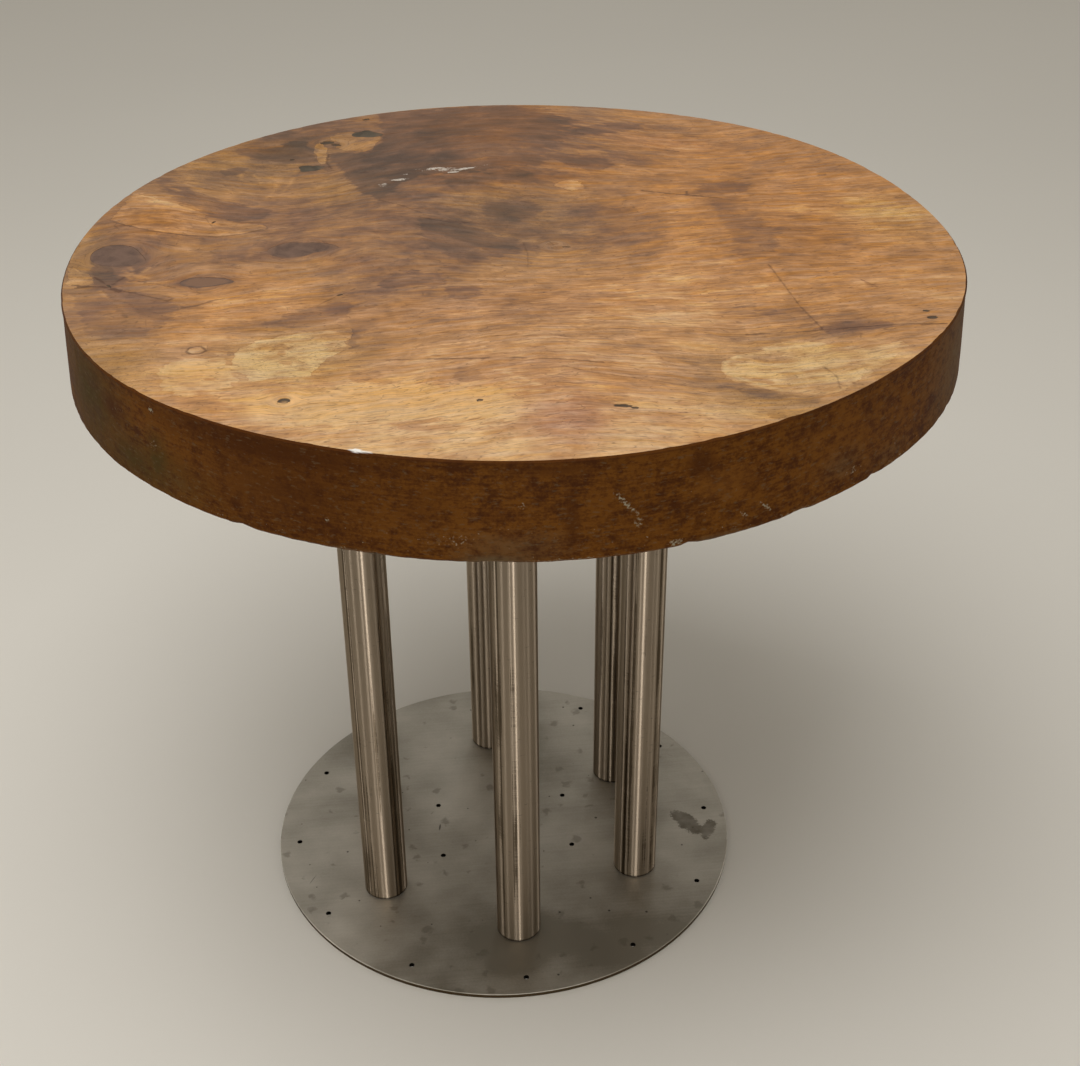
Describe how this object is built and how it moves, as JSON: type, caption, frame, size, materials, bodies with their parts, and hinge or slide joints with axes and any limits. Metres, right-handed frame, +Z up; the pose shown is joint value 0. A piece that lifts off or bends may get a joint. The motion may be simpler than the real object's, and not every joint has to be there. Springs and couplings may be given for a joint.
{
  "type": "round dining table",
  "caption": "Thick round slab of figured wood on a ring of upright steel tubes, which stand on a flat round steel base plate; a table for dining or meeting.",
  "frame": {"origin": "centre of the base plate's underside, on the floor", "axes": "+Z up; +X along the slab's grain, through the middle of the gap between two tubes"},
  "size_m": [0.8593, 0.8601, 0.75],
  "materials": {
    "slab_wood": "oiled and lightly waxed solid hardwood, dark weathered rim",
    "knot_filler": "smooth grey-brown resin filler, sanded flush",
    "tube_steel": "stainless tube, polished along its length",
    "plate_steel": "raw hot-rolled plate, matt and mottled",
    "plug_steel": "turned bright steel",
    "screw_steel": "zinc-plated steel"
  },
  "bodies": {
    "root": {"table_top": "slab_wood", "filler_left_knot": "knot_filler", "filler_long_split": "knot_filler", "filler_short_split": "knot_filler", "filler_back_knot": "knot_filler", "filler_back_split": "knot_filler", "base_plate": "plate_steel", "top_plate": "plate_steel", "leg_tube_1": "tube_steel", "lower_plug_1": "plug_steel", "upper_plug_1": "plug_steel", "leg_tube_2": "tube_steel", "lower_plug_2": "plug_steel", "upper_plug_2": "plug_steel", "leg_tube_3": "tube_steel", "lower_plug_3": "plug_steel", "upper_plug_3": "plug_steel", "leg_tube_4": "tube_steel", "lower_plug_4": "plug_steel", "upper_plug_4": "plug_steel", "leg_tube_5": "tube_steel", "lower_plug_5": "plug_steel", "upper_plug_5": "plug_steel", "leg_tube_6": "tube_steel", "lower_plug_6": "plug_steel", "upper_plug_6": "plug_steel", "lower_leg_screws": "screw_steel", "upper_leg_screws": "screw_steel", "outer_slab_screws": "screw_steel", "inner_slab_screws": "screw_steel"}
  },
  "joints": []
}
